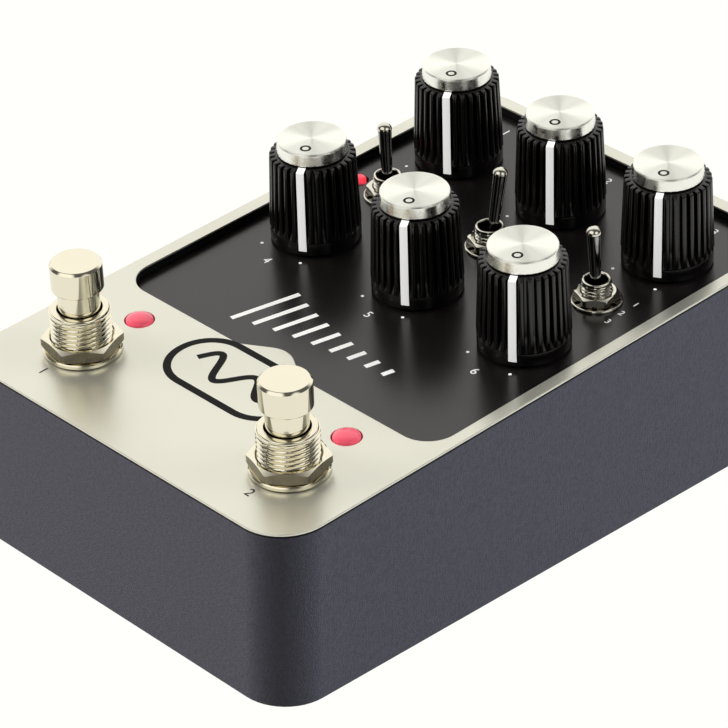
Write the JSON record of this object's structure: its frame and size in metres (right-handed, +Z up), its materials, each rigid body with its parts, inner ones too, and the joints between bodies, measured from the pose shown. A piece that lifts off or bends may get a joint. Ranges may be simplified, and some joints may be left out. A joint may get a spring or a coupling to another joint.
{
  "type": "delay pedal",
  "caption": "Floor delay pedal: wedge case, silver deck with a recessed panel, ribbed turning knobs, bat toggles, sprung footswitches, lamps, and jacks on the rear wall.",
  "frame": {"origin": "on the floor under the middle of the bounding box", "axes": "+X to the user's right, +Y to the rear wall with the jacks, +Z up"},
  "size_m": [0.092, 0.1456, 0.0668],
  "materials": {
    "powder_coat": "fine matt powder coat",
    "silver": "satin silver",
    "anthracite": "matt dark grey",
    "board": "green circuit board",
    "black_plastic": "satin black",
    "spun_aluminium": "spun bright aluminium",
    "steel": "plain plated steel",
    "chrome": "polished chrome",
    "nickel": "polished nickel",
    "lamp_lens": "clear red plastic, lit",
    "rubber": "black rubber"
  },
  "bodies": {
    "housing": {"enclosure": "powder_coat", "base_plate": "powder_coat", "top_plate": "silver", "control_panel": "anthracite", "main_board": "board", "jack_board": "board", "toggle_body_left": "steel", "toggle_nut_left": "chrome", "toggle_body_middle": "steel", "toggle_nut_middle": "chrome", "toggle_body_right": "steel", "toggle_nut_right": "chrome", "footswitch_body_left": "nickel", "footswitch_washer_left": "nickel", "footswitch_nut_left": "nickel", "lamp_left": "lamp_lens", "footswitch_body_right": "nickel", "footswitch_washer_right": "nickel", "footswitch_nut_right": "nickel", "lamp_right": "lamp_lens", "lamp_tempo": "lamp_lens", "jack_outer_left": "black_plastic", "jack_nut_outer_left": "nickel", "jack_inner_left": "black_plastic", "jack_nut_inner_left": "nickel", "jack_inner_right": "black_plastic", "jack_nut_inner_right": "nickel", "jack_outer_right": "black_plastic", "jack_nut_outer_right": "nickel", "power_socket": "black_plastic", "usb_port": "steel", "rear_button_switch": "steel", "foot_front_left": "rubber", "foot_front_right": "rubber", "foot_rear_left": "rubber", "foot_rear_right": "rubber"},
    "knob_rear_left": {"knob_body_rear_left": "black_plastic", "knob_cap_rear_left": "spun_aluminium", "pot_shaft_rear_left": "steel"},
    "knob_rear_middle": {"knob_body_rear_middle": "black_plastic", "knob_cap_rear_middle": "spun_aluminium", "pot_shaft_rear_middle": "steel"},
    "knob_rear_right": {"knob_body_rear_right": "black_plastic", "knob_cap_rear_right": "spun_aluminium", "pot_shaft_rear_right": "steel"},
    "knob_front_left": {"knob_body_front_left": "black_plastic", "knob_cap_front_left": "spun_aluminium", "pot_shaft_front_left": "steel"},
    "knob_front_middle": {"knob_body_front_middle": "black_plastic", "knob_cap_front_middle": "spun_aluminium", "pot_shaft_front_middle": "steel"},
    "knob_front_right": {"knob_body_front_right": "black_plastic", "knob_cap_front_right": "spun_aluminium", "pot_shaft_front_right": "steel"},
    "lever_left": {"toggle_lever_left": "chrome"},
    "lever_middle": {"toggle_lever_middle": "chrome"},
    "lever_right": {"toggle_lever_right": "chrome"},
    "plunger_left": {"footswitch_plunger_left": "nickel"},
    "plunger_right": {"footswitch_plunger_right": "nickel"},
    "button": {"rear_button": "black_plastic"}
  },
  "joints": [
    {"name": "turn_rear_left", "type": "hinge", "parent": "housing", "child": "knob_rear_left", "pos_m": [-0.0292, 0.04754, 0.04395], "axis": [0, -0.0519, 0.9987], "range_deg": [0, 300]},
    {"name": "turn_rear_middle", "type": "hinge", "parent": "housing", "child": "knob_rear_middle", "pos_m": [0, 0.04754, 0.04395], "axis": [0, -0.0519, 0.9987], "range_deg": [0, 300]},
    {"name": "turn_rear_right", "type": "hinge", "parent": "housing", "child": "knob_rear_right", "pos_m": [0.0292, 0.04754, 0.04395], "axis": [0, -0.0519, 0.9987], "range_deg": [0, 300]},
    {"name": "turn_front_left", "type": "hinge", "parent": "housing", "child": "knob_front_left", "pos_m": [-0.0292, 0.00674, 0.04183], "axis": [0, -0.0519, 0.9987], "range_deg": [0, 300]},
    {"name": "turn_front_middle", "type": "hinge", "parent": "housing", "child": "knob_front_middle", "pos_m": [0, 0.00674, 0.04183], "axis": [0, -0.0519, 0.9987], "range_deg": [0, 300]},
    {"name": "turn_front_right", "type": "hinge", "parent": "housing", "child": "knob_front_right", "pos_m": [0.0292, 0.00674, 0.04183], "axis": [0, -0.0519, 0.9987], "range_deg": [0, 300]},
    {"name": "flip_left", "type": "hinge", "parent": "housing", "child": "lever_left", "pos_m": [-0.0292, 0.02709, 0.04249], "axis": [1, 0, 0], "range_deg": [-10, 10]},
    {"name": "flip_middle", "type": "hinge", "parent": "housing", "child": "lever_middle", "pos_m": [0, 0.02709, 0.04249], "axis": [1, 0, 0], "range_deg": [0, 20]},
    {"name": "flip_right", "type": "hinge", "parent": "housing", "child": "lever_right", "pos_m": [0.0292, 0.02709, 0.04249], "axis": [1, 0, 0], "range_deg": [-10, 10]},
    {"name": "press_left", "type": "slide", "parent": "housing", "child": "plunger_left", "axis": [0, 0.0519, -0.9987], "range_m": [0, 0.002], "stiffness_N_per_m": 2000},
    {"name": "press_right", "type": "slide", "parent": "housing", "child": "plunger_right", "axis": [0, 0.0519, -0.9987], "range_m": [0, 0.002], "stiffness_N_per_m": 2000},
    {"name": "press_button", "type": "slide", "parent": "housing", "child": "button", "axis": [0, -1, 0], "range_m": [0, 0.0004], "stiffness_N_per_m": 1000}
  ]
}
